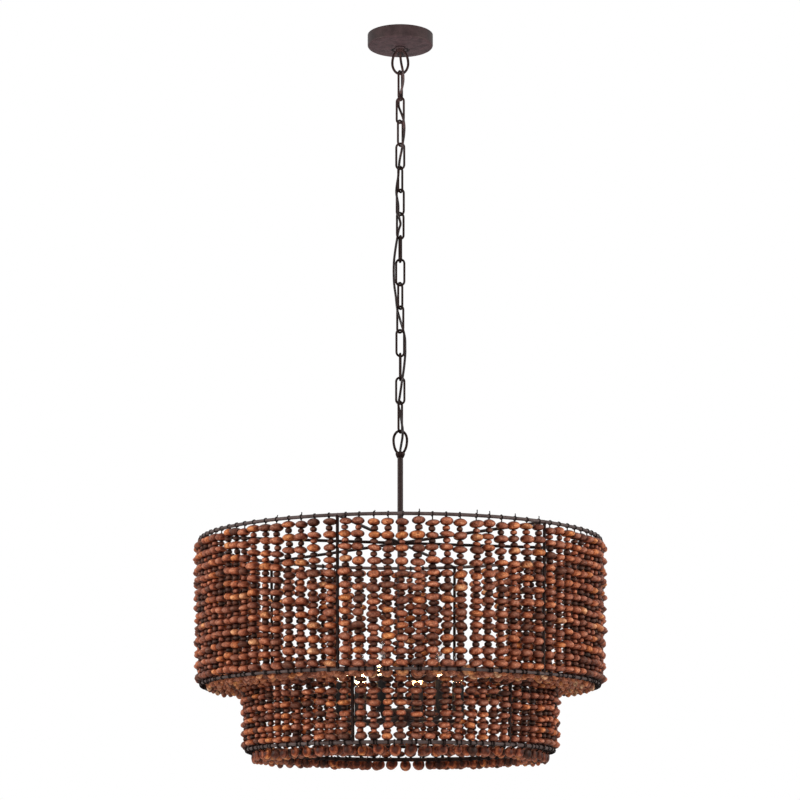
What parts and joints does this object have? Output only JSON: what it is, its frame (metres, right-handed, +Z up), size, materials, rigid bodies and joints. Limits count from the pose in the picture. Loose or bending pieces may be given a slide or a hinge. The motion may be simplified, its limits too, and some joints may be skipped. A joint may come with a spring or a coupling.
{
  "type": "beaded chandelier",
  "caption": "Round two-tier chandelier whose dark wire frame is hung with strings of wooden beads around a cluster of candle lights, on a chain with a round ceiling canopy.",
  "frame": {"origin": "middle of the canopy's open rim, in the plane of the ceiling", "axes": "+Z up into the ceiling, -Y towards the viewer of the picture, +X to the viewer's right"},
  "size_m": [0.7688, 0.7692, 1.4049],
  "materials": {
    "bronze": "dark oil-rubbed bronze paint, satin",
    "zinc_plated_steel": "zinc plated, satin",
    "bead_wood": "stained and waxed turned wood, satin, colour varies from bead to bead",
    "candle_sleeve": "dark painted sleeve, matte",
    "bulb_glass": "clear warm candle bulb",
    "cord_sleeve": "flat twin cord in moulded dark brown vinyl"
  },
  "bodies": {
    "canopy": {"ceiling_crossbar": "zinc_plated_steel", "canopy_shell": "bronze", "canopy_nipple": "zinc_plated_steel", "canopy_collar": "bronze", "canopy_loop": "bronze", "supply_cord": "cord_sleeve"},
    "link_01": {"chain_link_01": "bronze"},
    "link_02": {"chain_link_02": "bronze"},
    "link_03": {"chain_link_03": "bronze"},
    "link_04": {"chain_link_04": "bronze"},
    "link_05": {"chain_link_05": "bronze"},
    "link_06": {"chain_link_06": "bronze"},
    "link_07": {"chain_link_07": "bronze"},
    "link_08": {"chain_link_08": "bronze"},
    "link_09": {"chain_link_09": "bronze"},
    "link_10": {"chain_link_10": "bronze"},
    "link_11": {"chain_link_11": "bronze"},
    "link_12": {"chain_link_12": "bronze"},
    "link_13": {"chain_link_13": "bronze"},
    "link_14": {"chain_link_14": "bronze"},
    "link_15": {"chain_link_15": "bronze"},
    "fixture": {"stem_loop": "bronze", "stem": "bronze", "top_spider": "bronze", "stem_nut": "bronze", "top_ring": "bronze", "drum_cage": "bronze", "basket_cage": "bronze", "bottom_grid": "bronze", "drum_strands_1": "bead_wood", "drum_strands_2": "bead_wood", "drum_strands_3": "bead_wood", "drum_strands_4": "bead_wood", "drum_strands_5": "bead_wood", "drum_strands_6": "bead_wood", "basket_strands_1": "bead_wood", "basket_strands_2": "bead_wood", "basket_strands_3": "bead_wood", "basket_strands_4": "bead_wood", "basket_strands_5": "bead_wood", "basket_strands_6": "bead_wood", "shelf_strands_1": "bead_wood", "shelf_strands_2": "bead_wood", "shelf_strands_3": "bead_wood", "bottom_strands_1": "bead_wood", "bottom_strands_2": "bead_wood", "bottom_strands_3": "bead_wood", "light_body": "bronze", "candle_sleeve_1": "candle_sleeve", "candle_sleeve_2": "candle_sleeve", "candle_sleeve_3": "candle_sleeve", "candle_sleeve_4": "candle_sleeve", "candle_sleeve_5": "candle_sleeve", "candle_sleeve_6": "candle_sleeve"},
    "bulb_1": {"bulb_1": "bulb_glass"},
    "bulb_2": {"bulb_2": "bulb_glass"},
    "bulb_3": {"bulb_3": "bulb_glass"},
    "bulb_4": {"bulb_4": "bulb_glass"},
    "bulb_5": {"bulb_5": "bulb_glass"},
    "bulb_6": {"bulb_6": "bulb_glass"}
  },
  "joints": [
    {"name": "chain_swing_01", "type": "hinge", "parent": "canopy", "child": "link_01", "pos_m": [0, 0, -0.0792], "axis": [1, 0, 0], "range_deg": [-6, 6], "deforming": ["supply_cord"]},
    {"name": "chain_swing_02", "type": "hinge", "parent": "link_01", "child": "link_02", "pos_m": [0, 0, -0.1323], "axis": [0.4226, 0.9063, 0], "range_deg": [-6, 6], "deforming": ["supply_cord"]},
    {"name": "chain_swing_03", "type": "hinge", "parent": "link_02", "child": "link_03", "pos_m": [0, 0, -0.1784], "axis": [0.8829, -0.4695, 0], "range_deg": [-6, 6], "deforming": ["supply_cord"]},
    {"name": "chain_swing_04", "type": "hinge", "parent": "link_03", "child": "link_04", "pos_m": [0, 0, -0.2245], "axis": [0.5736, 0.8192, 0], "range_deg": [-6, 6], "deforming": ["supply_cord"]},
    {"name": "chain_swing_05", "type": "hinge", "parent": "link_04", "child": "link_05", "pos_m": [0, 0, -0.2706], "axis": [0.9816, -0.1908, 0], "range_deg": [-6, 6], "deforming": ["supply_cord"]},
    {"name": "chain_swing_06", "type": "hinge", "parent": "link_05", "child": "link_06", "pos_m": [0, 0, -0.3167], "axis": [0.5, 0.866, 0], "range_deg": [-6, 6], "deforming": ["supply_cord"]},
    {"name": "chain_swing_07", "type": "hinge", "parent": "link_06", "child": "link_07", "pos_m": [0, 0, -0.3628], "axis": [0.866, -0.5, 0], "range_deg": [-6, 6], "deforming": ["supply_cord"]},
    {"name": "chain_swing_08", "type": "hinge", "parent": "link_07", "child": "link_08", "pos_m": [0, 0, -0.4089], "axis": [0.809, 0.5878, 0], "range_deg": [-6, 6], "deforming": ["supply_cord"]},
    {"name": "chain_swing_09", "type": "hinge", "parent": "link_08", "child": "link_09", "pos_m": [0, 0, -0.455], "axis": [-0.2079, 0.9781, 0], "range_deg": [-6, 6], "deforming": ["supply_cord"]},
    {"name": "chain_swing_10", "type": "hinge", "parent": "link_09", "child": "link_10", "pos_m": [0, 0, -0.5011], "axis": [0.9962, -0.0872, 0], "range_deg": [-6, 6], "deforming": ["supply_cord"]},
    {"name": "chain_swing_11", "type": "hinge", "parent": "link_10", "child": "link_11", "pos_m": [0, 0, -0.5472], "axis": [0.5, 0.866, 0], "range_deg": [-6, 6], "deforming": ["supply_cord"]},
    {"name": "chain_swing_12", "type": "hinge", "parent": "link_11", "child": "link_12", "pos_m": [0, 0, -0.5933], "axis": [0.7431, -0.6691, 0], "range_deg": [-6, 6], "deforming": ["supply_cord"]},
    {"name": "chain_swing_13", "type": "hinge", "parent": "link_12", "child": "link_13", "pos_m": [0, 0, -0.6394], "axis": [0.9272, 0.3746, 0], "range_deg": [-6, 6], "deforming": ["supply_cord"]},
    {"name": "chain_swing_14", "type": "hinge", "parent": "link_13", "child": "link_14", "pos_m": [0, 0, -0.6855], "axis": [0.0698, 0.9976, 0], "range_deg": [-6, 6], "deforming": ["supply_cord"]},
    {"name": "chain_swing_15", "type": "hinge", "parent": "link_14", "child": "link_15", "pos_m": [0, 0, -0.7316], "axis": [1, 0, 0], "range_deg": [-6, 6], "deforming": ["supply_cord"]},
    {"name": "chain_swing_16", "type": "hinge", "parent": "link_15", "child": "fixture", "pos_m": [0, 0, -0.7866], "axis": [0.4226, 0.9063, 0], "range_deg": [-6, 6], "deforming": ["supply_cord"]},
    {"name": "bulb_screw_1", "type": "hinge", "parent": "fixture", "child": "bulb_1", "pos_m": [-0.03216, -0.10519, -1.2588], "axis": [0, 0, 1], "range_deg": [0, 1080]},
    {"name": "bulb_screw_2", "type": "hinge", "parent": "fixture", "child": "bulb_2", "pos_m": [0.07502, -0.08045, -1.2588], "axis": [0, 0, 1], "range_deg": [0, 1080]},
    {"name": "bulb_screw_3", "type": "hinge", "parent": "fixture", "child": "bulb_3", "pos_m": [0.10718, 0.02474, -1.2588], "axis": [0, 0, 1], "range_deg": [0, 1080]},
    {"name": "bulb_screw_4", "type": "hinge", "parent": "fixture", "child": "bulb_4", "pos_m": [0.03216, 0.10519, -1.2588], "axis": [0, 0, 1], "range_deg": [0, 1080]},
    {"name": "bulb_screw_5", "type": "hinge", "parent": "fixture", "child": "bulb_5", "pos_m": [-0.07502, 0.08045, -1.2588], "axis": [0, 0, 1], "range_deg": [0, 1080]},
    {"name": "bulb_screw_6", "type": "hinge", "parent": "fixture", "child": "bulb_6", "pos_m": [-0.10718, -0.02474, -1.2588], "axis": [0, 0, 1], "range_deg": [0, 1080]}
  ]
}
